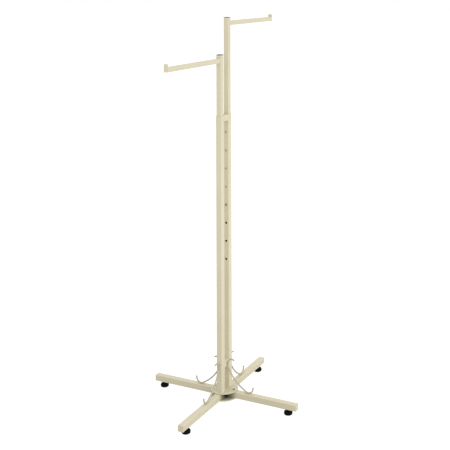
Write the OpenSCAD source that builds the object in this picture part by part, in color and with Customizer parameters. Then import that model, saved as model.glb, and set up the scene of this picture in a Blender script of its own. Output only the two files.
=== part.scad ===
// Two-arm garment rack of square steel tube, free standing and height adjustable.
// Each post stands on a four-legged base and holds an upright that slides up and down,
// locked by a spring button in one of a row of holes.
// Millimetres. +Z is up and the floor is z = 0. The origin is on the column's axis.
// right = +X, left = -X, back = +Y, front = -Y.

/* [Base] */
// Column axis to the outer end of each leg
leg_reach = 336.5; // [300:0.5:380]
// Column axis to each levelling foot
foot_reach = 297; // [250:0.5:300]
// Floor to the underside of the legs
leg_clearance = 22; // [20:0.5:24]
// Side of the square leg tube
leg_w = 25.4; // [24:0.1:30]
// Radius of the two round hub plates
hub_r = 57.15; // [55:0.05:70]
// Thickness of the two round hub plates
hub_t = 3.4; // [2:0.1:4]

/* [Posts] */
// Side of the square post tube
post_w = 25.4; // [25.4:0.1:27]
// Clear gap between the two posts
post_gap = 34.9; // [32:0.1:36]
// Length of each post
post_len = 1149; // [1000:1:1400]
// Distance between neighbouring height holes, and from the first hole to the post's top
hole_pitch = 76.2; // [60:0.1:90]
// Number of height holes in each post
hole_count = 8; // [7:1:10]
// Diameter of the height holes
hole_d = 9.5; // [9.2:0.1:10.5]

/* [Uprights and arms] */
// Side of the square upright tube
upright_w = 22.2; // [22:0.1:22.4]
// Length of each upright
upright_len = 822; // [700:1:900]
// Upright's lower end to its button
button_rise = 38.1; // [30:0.1:45]
// Hole the back upright's button is in, counted from the top
back_hole = 5; // [1:1:6]
// Hole the front upright's button is in, counted from the top
front_hole = 7; // [1:1:7]
// Side of the square arm tube
arm_w = 19.05; // [16:0.05:20]
// Length of each arm's tube
arm_len = 381; // [250:1:450]
// Top of the upright to the top of its arm
arm_drop = 14; // [8:0.5:30]
// Height of the plate that closes each arm
arm_end_h = 31.75; // [24:0.25:40]

/* [Hooks] */
// Diameter of the hook wire
wire_d = 6.35; // [4:0.05:7]
// Top of the legs to where each hook is welded to the column
hook_rise = 105; // [90:1:115]
// Straight run at the upturned tip of a hook
hook_tip = 7; // [4:1:25]

/* [Hidden] */
$fn = 96;

right_way = 0;
back_way = 90;
left_way = 180;
front_way = 270;

// Base
leg_wall = 1.5;
leg_corner_r = 2.5;
leg_bore_w = leg_w - 2 * leg_wall;
leg_bore_r = leg_corner_r - leg_wall;
leg_start = leg_w / 2 + 1.3;
leg_top = leg_clearance + leg_w;
hub_top = leg_top + hub_t;
hub_bottom = leg_clearance - hub_t;
cap_t = 2;
cap_plug_depth = 12;
cap_plug_wall = 2;

// Hub fasteners
bolt_d = 6;
bolt_clear_d = 6.6;
bolt_head_d = 10.5;
bolt_head_h = 3.3;
bolt_socket = 4;
bolt_socket_depth = 2;
bolt_end = 2;
nut_across = 10;
nut_h = 5;
hex_head_h = 4;
side_bolt_reach = 45;

// Levelling feet, screwed all the way in
pad_d = 35;
pad_h = 14;
pad_edge_r = 4.5;
pad_socket_d = 8.4;
pad_socket_floor = 5;
stud_d = 7.9;
stud_top = 40;
stud_hex = 13;
stud_hex_h = leg_clearance - pad_h;
foot_nut_across = 13;
foot_nut_h = 6.5;
foot_nut_bore = 8;
foot_hole_d = 9;

// Posts
post_wall = 1.2;
post_corner_r = 2.5;
post_y = (post_gap + post_w) / 2;
post_top = hub_top + post_len;
first_hole_z = post_top - hole_pitch;
brace_wall = 1.5;
// Height of the brace's middle above where the hooks are welded
hook_brace_up = 5;
hook_brace_z = leg_top + hook_rise + hook_brace_up;

// Uprights and arms
upright_wall = 1.2;
upright_corner_r = 2;
upright_bore_w = upright_w - 2 * upright_wall;
arm_wall = 1.2;
arm_corner_r = 2;
arm_end_t = 3;
arm_end_corner_r = 6;
plug_depth = 14;
plug_wall = 2;
plug_head_t = 2;

// Spring button
button_d = 9;
button_out = 3;
button_dome = 1.5;
button_flange_d = 12;
button_flange_t = 1;
upright_button_hole_d = 9.5;
leaf_w = 12;
leaf_t = 0.8;
leaf_up = 8;
leaf_down = 14;

// Hook wire. Below its weld it bends out until it is hook_steep degrees from level, sweeps
// in one long arc to hook_shallow degrees, and turns up at the foot. Above, it curls over
joint_r = wire_d / 2 + 0.05;
joint_gap = 0.1;
hook_bend_r = 24;
hook_steep = 65;
hook_shallow = 27;
hook_foot_r = 21;
hook_tip_angle = 80;
hook_arc_r = (hook_rise - joint_r - hook_bend_r * cos(hook_steep)
    - hook_foot_r * (1 - cos(hook_shallow))) / (cos(hook_shallow) - cos(hook_steep));
hook_curl_lean = 20;
hook_curl_run = 8;
hook_curl_r = 14;
hook_curl_turn = 80;
hook_curl_tip = 10;

paint = [0.87, 0.83, 0.72];
zinc = [0.74, 0.75, 0.76];
black_plastic = [0.09, 0.09, 0.09];
black_steel = [0.16, 0.16, 0.17];
spring_steel = [0.55, 0.56, 0.58];

// A square of side w with corners of radius r, centred
module rounded_square(w, r) {
    square([w, w - 2 * r], center = true);
    square([w - 2 * r, w], center = true);
    for (x = [-1, 1], y = [-1, 1])
        translate([x * (w / 2 - r), y * (w / 2 - r)])
            circle(r);
}

// Section of a square tube of side w with outer corner radius r
module tube_section(w, wall, r) {
    difference() {
        rounded_square(w, r);
        rounded_square(w - 2 * wall, r - wall);
    }
}

// Hexagonal prism standing on z = 0
module hex_bar(across, h) {
    cylinder(d = across / cos(30), h = h, $fn = 6);
}

module hex_nut(across, h, bore) {
    difference() {
        hex_bar(across, h);
        translate([0, 0, -1])
            cylinder(d = bore, h = h + 2);
    }
}

// Turns its children, built along +X, to point along one leg
module toward(way) {
    rotate([0, 0, way])
        children();
}

// Lays its children, built standing on z = 0, along +X from x
module along_x(x, z) {
    translate([x, 0, z])
        rotate([90, 0, 90])
            children();
}

// Base

module hub_plate(z) {
    difference() {
        translate([0, 0, z])
            cylinder(r = hub_r, h = hub_t);
        for (x = [-side_bolt_reach, side_bolt_reach])
            translate([x, 0, z - 1])
                cylinder(d = bolt_clear_d, h = hub_t + 2);
        for (y = [-post_y, post_y])
            translate([0, y, z - 1])
                cylinder(d = bolt_clear_d, h = hub_t + 2);
    }
}

module upper_plate() {
    color(paint)
        hub_plate(leg_top);
}

module lower_plate() {
    color(paint)
        hub_plate(hub_bottom);
}

module leg(way, bolt_reach) {
    color(paint)
        toward(way)
            difference() {
                along_x(leg_start, leg_clearance + leg_w / 2)
                    linear_extrude(leg_reach - cap_t - leg_start)
                        tube_section(leg_w, leg_wall, leg_corner_r);
                translate([bolt_reach, 0, leg_clearance - 1])
                    cylinder(d = bolt_clear_d, h = leg_w + 2);
                translate([foot_reach, 0, leg_clearance - 1])
                    cylinder(d = foot_hole_d, h = leg_wall + 2);
            }
}

module leg_cap(way) {
    color(paint)
        toward(way) {
            along_x(leg_reach - cap_t, leg_clearance + leg_w / 2)
                linear_extrude(cap_t)
                    rounded_square(leg_w, leg_corner_r);
            along_x(leg_reach - cap_t - cap_plug_depth, leg_clearance + leg_w / 2)
                linear_extrude(cap_plug_depth)
                    difference() {
                        rounded_square(leg_bore_w, leg_bore_r);
                        square(leg_bore_w - 2 * cap_plug_wall, center = true);
                    }
        }
}

// Hub fasteners

module side_leg_bolts() {
    color(zinc)
        for (x = [-side_bolt_reach, side_bolt_reach])
            translate([x, 0, hub_top]) {
                difference() {
                    cylinder(d = bolt_head_d, h = bolt_head_h);
                    translate([0, 0, bolt_head_h - bolt_socket_depth])
                        hex_bar(bolt_socket, bolt_socket_depth + 1);
                }
                translate([0, 0, hub_bottom - nut_h - bolt_end - hub_top])
                    cylinder(d = bolt_d, h = hub_top - hub_bottom + nut_h + bolt_end);
            }
}

module side_leg_nuts() {
    color(zinc)
        for (x = [-side_bolt_reach, side_bolt_reach])
            translate([x, 0, hub_bottom - nut_h])
                hex_nut(nut_across, nut_h, bolt_d);
}

module post_bolts() {
    color(zinc)
        for (y = [-post_y, post_y])
            translate([0, y, hub_bottom]) {
                translate([0, 0, -hex_head_h])
                    hex_bar(nut_across, hex_head_h);
                cylinder(d = bolt_d, h = hub_top - hub_bottom + nut_h + bolt_end);
            }
}

module post_nuts() {
    color(zinc)
        for (y = [-post_y, post_y])
            translate([0, y, hub_top])
                hex_nut(nut_across, nut_h, bolt_d);
}

// Levelling feet

module foot_nuts() {
    color(zinc)
        for (way = [right_way, back_way, left_way, front_way])
            toward(way)
                translate([foot_reach, 0, leg_clearance + leg_wall])
                    hex_nut(foot_nut_across, foot_nut_h, foot_nut_bore);
}

module foot_pad(way) {
    color(black_plastic)
        toward(way)
            translate([foot_reach, 0, 0])
                difference() {
                    rotate_extrude()
                        pad_outline();
                    translate([0, 0, pad_socket_floor])
                        cylinder(d = pad_socket_d, h = pad_h);
                }
}

// Half section of a foot pad: a flat disc with rounded edges
module pad_outline() {
    square([pad_d / 2 - pad_edge_r, pad_h]);
    translate([0, pad_edge_r])
        square([pad_d / 2, pad_h - 2 * pad_edge_r]);
    for (z = [pad_edge_r, pad_h - pad_edge_r])
        translate([pad_d / 2 - pad_edge_r, z])
            circle(pad_edge_r);
}

module foot_stud(way) {
    color(black_steel)
        toward(way)
            translate([foot_reach, 0, 0]) {
                translate([0, 0, pad_socket_floor])
                    cylinder(d = stud_d, h = stud_top - pad_socket_floor);
                translate([0, 0, pad_h])
                    hex_bar(stud_hex, stud_hex_h);
            }
}

// Posts. Every piece of the column is built for the back and mirrored for the front

module at_front() {
    mirror([0, 1, 0])
        children();
}

module post() {
    color(paint)
        difference() {
            translate([0, post_y, hub_top])
                linear_extrude(post_len)
                    tube_section(post_w, post_wall, post_corner_r);
            for (i = [0 : hole_count - 1])
                translate([0, post_gap / 2 - 1, first_hole_z - i * hole_pitch])
                    rotate([-90, 0, 0])
                        cylinder(d = hole_d, h = post_wall + 2);
        }
}

// Short length of square tube welded between the posts, its middle at height z
module brace(z) {
    color(paint)
        translate([0, post_gap / 2, z])
            rotate([90, 0, 0])
                linear_extrude(post_gap)
                    tube_section(post_w, brace_wall, post_corner_r);
}

module top_brace() {
    brace(post_top - post_w / 2);
}

module hook_brace() {
    brace(hook_brace_z);
}

// Hooks

// A ball in the wire, hardly wider than it, which joins two segments
module wire_joint() {
    sphere(r = joint_r);
}

// Draws round wire from the origin in the XZ plane, heading up. Each segment is
// [length, 0] for a straight run or [radius, turn in degrees] for a bend toward +X,
// starts and ends just short of its joints and is followed by one
module wire(segments, i = 0) {
    if (i < len(segments)) {
        size = segments[i][0];
        turn = segments[i][1];
        if (turn == 0) {
            translate([0, 0, joint_gap])
                cylinder(d = wire_d, h = size - 2 * joint_gap);
            translate([0, 0, size]) {
                wire_joint();
                wire(segments, i + 1);
            }
        } else {
            short = joint_gap / size * 180 / PI;
            translate([size, 0, 0])
                rotate([90, 0, 0])
                    rotate([0, 0, 180 - turn + short])
                        rotate_extrude(angle = turn - 2 * short)
                            translate([size, 0])
                                circle(d = wire_d);
            translate([size, 0, 0])
                rotate([0, turn, 0])
                    translate([-size, 0, 0]) {
                        wire_joint();
                        wire(segments, i + 1);
                    }
        }
    }
}

module hook(way, face) {
    color(paint)
        toward(way)
            translate([face + joint_r, 0, leg_top + hook_rise]) {
                wire_joint();
                wire([
                    [hook_bend_r, hook_curl_lean],
                    [hook_curl_run, 0],
                    [hook_curl_r, hook_curl_turn],
                    [hook_curl_tip, 0],
                ]);
                mirror([0, 0, 1])
                    wire([
                        [hook_bend_r, 90 - hook_steep],
                        [hook_arc_r, hook_steep - hook_shallow],
                        [hook_foot_r, hook_shallow + hook_tip_angle],
                        [hook_tip, 0],
                    ]);
            }
}

// Uprights, arms and spring buttons, drawn with the upright's button at height z

module upright(z) {
    color(paint)
        difference() {
            translate([0, post_y, z - button_rise])
                linear_extrude(upright_len)
                    tube_section(upright_w, upright_wall, upright_corner_r);
            translate([0, post_y - upright_w / 2 - 1, z])
                rotate([-90, 0, 0])
                    cylinder(d = upright_button_hole_d, h = upright_wall + 2);
        }
}

module upright_plug(z) {
    color(black_plastic)
        translate([0, post_y, z - button_rise + upright_len]) {
            linear_extrude(plug_head_t)
                rounded_square(upright_w, upright_corner_r);
            translate([0, 0, -plug_depth])
                linear_extrude(plug_depth)
                    difference() {
                        rounded_square(upright_bore_w, upright_corner_r - upright_wall);
                        square(upright_bore_w - 2 * plug_wall, center = true);
                    }
        }
}

// Height of an arm's middle above its upright's button
function arm_height(z) = z - button_rise + upright_len - arm_drop - arm_w / 2;

module arm(z) {
    color(paint)
        toward(back_way)
            along_x(post_y + upright_w / 2, arm_height(z))
                linear_extrude(arm_len)
                    tube_section(arm_w, arm_wall, arm_corner_r);
}

module arm_end(z) {
    straight = arm_end_h - arm_end_corner_r;
    color(paint)
        toward(back_way)
            along_x(post_y + upright_w / 2 + arm_len, arm_height(z) - arm_w / 2)
                linear_extrude(arm_end_t) {
                    translate([-arm_w / 2, 0])
                        square([arm_w, straight]);
                    translate([-arm_w / 2 + arm_end_corner_r, 0])
                        square([arm_w - 2 * arm_end_corner_r, arm_end_h]);
                    for (x = [-1, 1])
                        translate([x * (arm_w / 2 - arm_end_corner_r), straight])
                            circle(arm_end_corner_r);
                }
}

// Lays its children, built along +Z, along +Y from the button's domed tip
module from_button_tip(z) {
    translate([0, post_gap / 2 - button_out, z])
        rotate([-90, 0, 0])
            children();
}

function button_len() = button_out + (post_w - upright_w) / 2 + upright_wall;

module button(z) {
    color(zinc)
        from_button_tip(z) {
            translate([0, 0, button_dome])
                cylinder(d = button_d, h = button_len() - button_dome);
            cylinder(d1 = button_d - 2 * button_dome, d2 = button_d, h = button_dome);
            translate([0, 0, button_len()])
                cylinder(d = button_flange_d, h = button_flange_t);
        }
}

// U-shaped leaf between the button's flange and the upright's far wall
module button_spring(z) {
    near_side = post_gap / 2 - button_out + button_len() + button_flange_t;
    far_side = post_y + upright_bore_w / 2;
    bend_r = (far_side - near_side) / 2;
    color(spring_steel)
        translate([-leaf_w / 2, near_side + bend_r, z - leaf_down])
            rotate([90, 0, 90])
                linear_extrude(leaf_w) {
                    for (y = [-bend_r, bend_r - leaf_t])
                        translate([y, 0])
                            square([leaf_t, leaf_down + leaf_up]);
                    difference() {
                        circle(bend_r);
                        circle(bend_r - leaf_t);
                        translate([-bend_r - 1, 0])
                            square(2 * bend_r + 2);
                    }
                }
}

function hole_z(i) = first_hole_z - (i - 1) * hole_pitch;
back_z = hole_z(back_hole);
front_z = hole_z(front_hole);

upper_plate();
lower_plate();
leg(left_way, side_bolt_reach);  // left_leg
leg(right_way, side_bolt_reach);  // right_leg
leg(front_way, post_y);  // front_leg
leg(back_way, post_y);  // back_leg
leg_cap(left_way);  // left_leg_cap
leg_cap(right_way);  // right_leg_cap
leg_cap(front_way);  // front_leg_cap
leg_cap(back_way);  // back_leg_cap
side_leg_bolts();
side_leg_nuts();
post_bolts();
post_nuts();
at_front() post();  // front_post
post();  // back_post
top_brace();
hook_brace();
hook(left_way, post_w / 2);  // left_hook
hook(right_way, post_w / 2);  // right_hook
hook(front_way, post_y + post_w / 2);  // front_hook
hook(back_way, post_y + post_w / 2);  // back_hook
at_front() upright(front_z);  // front_upright
upright(back_z);  // back_upright
at_front() arm(front_z);  // front_arm
arm(back_z);  // back_arm
at_front() arm_end(front_z);  // front_arm_end
arm_end(back_z);  // back_arm_end
at_front() upright_plug(front_z);  // front_upright_plug
upright_plug(back_z);  // back_upright_plug
at_front() button(front_z);  // front_button
button(back_z);  // back_button
at_front() button_spring(front_z);  // front_button_spring
button_spring(back_z);  // back_button_spring
foot_nuts();
foot_pad(left_way);  // left_foot_pad
foot_pad(right_way);  // right_foot_pad
foot_pad(front_way);  // front_foot_pad
foot_pad(back_way);  // back_foot_pad
foot_stud(left_way);  // left_foot_stud
foot_stud(right_way);  // right_foot_stud
foot_stud(front_way);  // front_foot_stud
foot_stud(back_way);  // back_foot_stud
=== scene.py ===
"""Looks of a two-arm garment rack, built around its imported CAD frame.

Every length is in metres, in the frame's own axes: +Z up, right = +X, left = -X,
back = +Y, front = -Y. Sizes that the frame doesn't give are named here.
"""

import math

import bmesh
import bpy
from mathutils import Matrix, Vector


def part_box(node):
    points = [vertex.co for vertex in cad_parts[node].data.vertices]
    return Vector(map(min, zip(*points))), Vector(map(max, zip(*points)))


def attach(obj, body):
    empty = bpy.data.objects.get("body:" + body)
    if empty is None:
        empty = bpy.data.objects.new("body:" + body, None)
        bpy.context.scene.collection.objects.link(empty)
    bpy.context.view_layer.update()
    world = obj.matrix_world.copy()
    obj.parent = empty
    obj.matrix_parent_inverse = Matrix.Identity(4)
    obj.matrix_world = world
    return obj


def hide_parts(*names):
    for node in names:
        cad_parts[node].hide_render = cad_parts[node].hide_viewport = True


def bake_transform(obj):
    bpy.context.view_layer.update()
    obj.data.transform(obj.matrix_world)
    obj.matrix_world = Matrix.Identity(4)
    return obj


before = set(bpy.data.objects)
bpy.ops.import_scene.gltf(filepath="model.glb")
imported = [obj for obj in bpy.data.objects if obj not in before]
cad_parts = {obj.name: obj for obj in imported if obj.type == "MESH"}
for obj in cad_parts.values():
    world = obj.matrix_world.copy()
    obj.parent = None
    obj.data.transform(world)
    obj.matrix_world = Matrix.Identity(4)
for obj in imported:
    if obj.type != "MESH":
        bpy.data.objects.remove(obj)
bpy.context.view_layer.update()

MM = 0.001
WAYS = {"right": 0, "back": 90, "left": 180, "front": 270}
SIDES = {"back": 1, "front": -1}

# Tubes: wall and outer corner radius
LEG_WALL, LEG_CORNER = 1.5 * MM, 2.5 * MM
POST_WALL, POST_CORNER = 1.2 * MM, 2.5 * MM
BRACE_WALL = 1.5 * MM
UPRIGHT_WALL, UPRIGHT_CORNER = 1.2 * MM, 2 * MM
ARM_WALL, ARM_CORNER = 1.2 * MM, 2 * MM
SAWN_EDGE = 0.3 * MM
HOLE_RIM = 0.35 * MM
# The rim's rounding starts this far above the face it eases, so it crosses the face at an angle
RIM_LIFT = 0.06 * MM

# Holes
POST_HOLES = 8
POST_HOLE_PITCH = 76.2 * MM
POST_HOLE_D = 9.5 * MM
BOLT_HOLE_D = 6.6 * MM
FOOT_HOLE_D = 9 * MM

# Flat parts
PLATE_EDGE = 0.7 * MM
ARM_END_CORNER, ARM_END_FOOT_CORNER = 6 * MM, 1.2 * MM
ARM_END_EDGE = 0.6 * MM

# Caps and plugs. A taper is how far the stem draws in and over what length. A crown rises to
# these shares of CROWN at these distances in from the edge
CROWN = 0.25 * MM
LEG_CAP_T = 2 * MM
LEG_CAP_PLUG = 12 * MM
LEG_CAP_EDGE = 0.7 * MM
LEG_CAP_TAPER = (0.6 * MM, 1.5 * MM)
LEG_CAP_CROWN = [(3 * MM, 0.6), (8 * MM, 1)]
PLUG_HEAD_T = 2 * MM
PLUG_EDGE = 0.5 * MM
PLUG_TAPER = (0.5 * MM, 1 * MM)
PLUG_CROWN = [(3 * MM, 0.7), (7 * MM, 1)]

# Bolts and nuts
BOLT_D = 6 * MM
BOLT_PITCH = 1 * MM
BOLT_POINT = 0.7 * MM
BOLT_HEAD_D = 10.5 * MM
# The button head's outline: height over its seat and how far it is in from the widest
BOLT_HEAD = [(0, 0.2 * MM), (0.5 * MM, 0), (1.3 * MM, 0.45 * MM), (2.2 * MM, 1.4 * MM)]
# The same round its top, as the depth below it
BOLT_HEAD_TOP = [(0.2 * MM, 2.3 * MM), (0, 2.7 * MM)]
BOLT_SOCKET = 4 * MM
BOLT_SOCKET_EDGE, BOLT_SOCKET_DEPTH = 0.15 * MM, 2 * MM
# The height over which a head runs in to its shank
BOLT_SEAT = 0.1 * MM
NUT_ACROSS = 10 * MM
NUT_H = 5 * MM
NUT_SINK = 0.4 * MM
HEX_HEAD_H = 4 * MM
# A hexagon's end chamfer: its height and, up that height, the round limit of its corners, both
# as shares of half the distance across the flats
HEX_CHAMFER = 0.16
HEX_CHAMFER_RINGS = [(0, 0.97), (0.3, 1.05), (0.7, 1.13), (1, 2)]
THREAD_DEPTH = 0.55  # of the pitch
THREAD_FLANK = 1.3  # over 1 flattens the root
THREAD_STEPS = 8  # for each pitch

# Feet
STUD_D = 7.9 * MM
STUD_PITCH = 1.25 * MM
STUD_POINT = 1 * MM
STUD_PIN_EDGE = 0.5 * MM
STUD_NECK = 0.2 * MM
STUD_HEX = 13 * MM
FOOT_NUT_ACROSS = 13 * MM
FOOT_NUT_BORE = 8.05 * MM
PAD_EDGE = 4.5 * MM
PAD_EDGE_STEPS = 6
PAD_HOLLOW = 0.8 * MM
PAD_HOLLOW_IN, PAD_HOLLOW_OUT = 2.5 * MM, 1.5 * MM
# Dish: how far in from the flat top's rim, and how deep. Collar: radius, and how deep
PAD_DISH = [(1.1 * MM, 0.1 * MM), (1.9 * MM, 0.7 * MM)]
PAD_COLLAR = [(8.9 * MM, 0.8 * MM), (8.1 * MM, 0.2 * MM), (7.7 * MM, 0)]
PAD_SOCKET_R = 4.2 * MM
PAD_SOCKET_EDGE = 0.4 * MM
PAD_SOCKET_FLOOR = 5 * MM

# Spring buttons
BUTTON_R = 4.5 * MM
BUTTON_DOME = 1.8 * MM
BUTTON_DOME_STEPS = 6
FLANGE_R = 6 * MM
FLANGE_T = 1 * MM
FLANGE_EDGE = 0.2 * MM
LEAF_T = 0.8 * MM
LEAF_EDGE = 0.15 * MM
LEAF_STEPS = 16

# Hook wire, as the CAD hooks are bent. Below its weld the wire bends out until it is STEEP
# degrees from level, sweeps in one long arc to SHALLOW degrees and turns up at the foot
WIRE_R = 3.175 * MM
WIRE_STANDOFF = WIRE_R + 0.05 * MM
HOOK_RISE = 105 * MM
HOOK_BEND_R = 24 * MM
HOOK_STEEP, HOOK_SHALLOW = 65, 27
HOOK_FOOT_R = 21 * MM
HOOK_TIP_ANGLE = 80
HOOK_TIP = 7 * MM
HOOK_CURL = [(HOOK_BEND_R, 20), (8 * MM, 0), (14 * MM, 80), (10 * MM, 0)]
TACK_LENGTH = 16 * MM
TACK_R = 1.5 * MM
TACK_SINK = 0.3 * MM

# Weld beads. Ripples and wander are shares of the bead's radius
BEAD_R = 1.6 * MM
BEAD_RIPPLE = 1.7 * MM
BEAD_RIPPLE_DEPTH = 0.1
BEAD_WANDER, BEAD_WANDER_TURNS = 0.03, 7.3
BEAD_TAPER_STEPS, BEAD_TAPER_ANGLE = 5, 15
BEAD_STEP = 0.45 * MM
BEAD_SINK = 0.4 * MM
ARM_TOP_BEAD_R = 0.8 * BEAD_R
BRACE_BEAD_INSET, BRACE_BEAD_BACK = 1.1 * MM, 0.85 * MM

# How finely round things are divided
CORNER_STEPS = 6
EDGE_STEPS = 3
ROUND_STEPS = 72
PLATE_STEPS = 128
BUTTON_STEPS = 48
POLAR_STEPS = 36
WIRE_STEPS = 20
BEAD_STEPS = 12
DOME_STEPS, DOME_END = 5, 88
WIRE_BEND_STEP = 5
SHARP_ANGLE = 32

LAY_ALONG_X = Matrix(((0, 0, 1, 0), (1, 0, 0, 0), (0, 1, 0, 0), (0, 0, 0, 1)))
TOWARD_FRONT = Matrix.Rotation(math.pi / 2, 4, "X")
TOWARD_BACK = Matrix.Rotation(-math.pi / 2, 4, "X")
UPSIDE_DOWN = Matrix.Rotation(math.pi, 4, "X")


# Mesh building


def turn(way):
    """Turns what is built along +X to point along one leg."""
    return Matrix.Rotation(math.radians(WAYS[way]), 4, "Z")


def move(x, y, z):
    return Matrix.Translation((x, y, z))


def extent(node, way):
    """How far from the column's axis a node starts and ends, going out one way."""
    direction = turn(way) @ Vector((1, 0, 0))
    reaches = [direction.dot(corner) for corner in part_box(node)]
    return min(reaches), max(reaches)


def level(node):
    """A node's lowest and highest height."""
    low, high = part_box(node)
    return low.z, high.z


def rounded_rectangle(width, height, radius, z=0.0, steps=CORNER_STEPS):
    """Counterclockwise outline of a centred rectangle with round corners."""
    points = []
    for corner, (x, y) in enumerate(((1, 1), (-1, 1), (-1, -1), (1, -1))):
        for step in range(steps + 1):
            angle = (corner + step / steps) * math.pi / 2
            points.append(Vector((
                x * (width / 2 - radius) + radius * math.cos(angle),
                y * (height / 2 - radius) + radius * math.sin(angle),
                z,
            )))
    return points


def polar_ring(z, radius_at, steps=POLAR_STEPS):
    """A ring round the Z axis whose radius is a function of the angle."""
    ring = []
    for step in range(steps):
        angle = 2 * math.pi * step / steps
        radius = radius_at(angle)
        ring.append(Vector((radius * math.cos(angle), radius * math.sin(angle), z)))
    return ring


def hex_radius(across, angle):
    """Distance from a hexagon's middle to its side at an angle."""
    off_flat = (angle + math.pi / 6) % (math.pi / 3) - math.pi / 6
    return across / 2 / math.cos(off_flat)


def loft(rings, closed=False):
    """A skin over rings of equal length. Closed joins the last ring to the first; otherwise
    both ends are capped."""
    bm = bmesh.new()
    rows = [[bm.verts.new(point) for point in ring] for ring in rings]
    pairs = list(zip(rows, rows[1:]))
    if closed:
        pairs.append((rows[-1], rows[0]))
    for low, high in pairs:
        for i in range(len(low)):
            j = (i + 1) % len(low)
            bm.faces.new((low[i], low[j], high[j], high[i]))
    if not closed:
        bm.faces.new(list(reversed(rows[0])))
        bm.faces.new(rows[-1])
    return bm


def quarter(centre, radius, start, steps=EDGE_STEPS):
    """Points of a quarter circle from an angle in degrees, counterclockwise."""
    points = []
    for step in range(steps + 1):
        angle = math.radians(start + 90 * step / steps)
        points.append((
            centre[0] + radius * math.cos(angle),
            centre[1] + radius * math.sin(angle),
        ))
    return points


def tapered_stem(inside, taper, bottom):
    """The first stages of a plug: a stem that draws in toward its bottom."""
    draw, length = taper
    return [(inside + draw, bottom), (inside, bottom + length)]


def crowned(crown, top):
    """The last stages of a plug: a face that rises a little toward its middle."""
    return [(inset, top + CROWN * share) for inset, share in crown]


def square_tube(width, wall, corner, length):
    """A square tube standing on z = 0 with its sawn edges eased."""
    middle_in, middle_out = wall - SAWN_EDGE, SAWN_EDGE
    low, high = SAWN_EDGE, length - SAWN_EDGE
    # the wall's own section as (inset from the outside, height), counterclockwise from outside
    section = []
    for inset, z, start in (
        (middle_out, high, 180),
        (middle_in, high, 90),
        (middle_in, low, 0),
        (middle_out, low, -90),
    ):
        section += list(reversed(quarter((inset, z), SAWN_EDGE, start - 90)))
    rings = []
    for inset, z in section:
        side = width - 2 * inset
        rings.append(rounded_rectangle(side, side, corner - inset, z))
    return loft(rings, closed=True)


def plug(width, corner, stages):
    """A square plug or cap whose stages are (inset, height), from the bottom up."""
    rings = []
    for inset, z in stages:
        side = width - 2 * inset
        rings.append(rounded_rectangle(side, side, max(corner - inset, 0.1 * MM), z))
    return loft(rings)


def lathe(profile, steps=ROUND_STEPS):
    """Turns a profile of (radius, height) round Z. It starts and ends on the axis."""
    bm = bmesh.new()
    rows = []
    for radius, z in profile:
        if radius == 0:
            rows.append([bm.verts.new((0, 0, z))])
            continue
        rows.append([bm.verts.new(point) for point in polar_ring(z, lambda a: radius, steps)])
    for low, high in zip(rows, rows[1:]):
        for i in range(steps):
            j = (i + 1) % steps
            corners = [low[i % len(low)], low[j % len(low)], high[j % len(high)], high[i % len(high)]]
            bm.faces.new(list(dict.fromkeys(corners)))
    return bm


def sweep(path, radii, closed=False, steps=WIRE_STEPS):
    """A round bar along a path, its radius given at each point."""
    count = len(path)
    rings = []
    side = None
    for i, point in enumerate(path):
        before = path[i - 1] if closed or i else path[0]
        after = path[(i + 1) % count] if closed or i < count - 1 else path[-1]
        along = (after - before).normalized()
        if side is None:
            side = along.orthogonal().normalized()
        side = (side - along * side.dot(along)).normalized()
        other = along.cross(side)
        ring = []
        for step in range(steps):
            angle = 2 * math.pi * step / steps
            ring.append(point + radii[i] * (math.cos(angle) * side + math.sin(angle) * other))
        rings.append(ring)
    return loft(rings, closed)


def domed(path, radius):
    """A path and its radii with a half ball added at both ends."""
    points = list(path)
    radii = [radius] * len(points)
    for end, inner in ((0, 1), (-1, -2)):
        outward = (points[end] - points[inner]).normalized()
        tip = points[end].copy()
        for step in range(1, DOME_STEPS + 1):
            angle = math.radians(DOME_END) * step / DOME_STEPS
            place = 0 if end == 0 else len(points)
            points.insert(place, tip + outward * radius * math.sin(angle))
            radii.insert(place, radius * math.cos(angle))
    return points, radii


def spaced(path, step, closed=False):
    """The path's points again, at an even distance."""
    ends = path[1:] + ([path[0]] if closed else [])
    lengths = [(b - a).length for a, b in zip(path, ends)]
    count = max(2, round(sum(lengths) / step))
    gap = sum(lengths) / count
    points, i, passed = [], 0, 0.0
    for n in range(count if closed else count + 1):
        target = n * gap
        while i < len(lengths) - 1 and passed + lengths[i] < target:
            passed += lengths[i]
            i += 1
        share = min(1.0, (target - passed) / lengths[i])
        points.append(path[i].lerp(ends[i], share))
    return points


def bead(path, radius=BEAD_R, closed=False):
    """A weld bead: a bar along the path with the ripples of a moving puddle."""
    points = spaced(path, BEAD_STEP, closed)
    length = BEAD_STEP * len(points)
    ripples = max(1, round(length / BEAD_RIPPLE))
    radii = []
    for i in range(len(points)):
        phase = math.pi * ripples * i / len(points)
        ripple = BEAD_RIPPLE_DEPTH * (abs(math.sin(phase)) - 1)
        wander = BEAD_WANDER * math.sin(BEAD_WANDER_TURNS * 2 * math.pi * i / len(points))
        radii.append(radius * (1 + ripple + wander))
    if closed:
        return sweep(points, radii, True, BEAD_STEPS)
    for i in range(BEAD_TAPER_STEPS):
        taper = math.sin(math.radians(BEAD_TAPER_ANGLE * (i + 1)))
        radii[i] *= taper
        radii[-1 - i] *= taper
    return sweep(points, radii, False, BEAD_STEPS)


def joined(*parts):
    """One bmesh with all the parts in it."""
    whole = bmesh.new()
    for part in parts:
        mesh = bpy.data.meshes.new("part")
        part.to_mesh(mesh)
        whole.from_mesh(mesh)
        bpy.data.meshes.remove(mesh)
        part.free()
    return whole


def placed(bm, matrix):
    """The bmesh after it is moved by the matrix."""
    bm.transform(matrix)
    return bm


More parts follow.
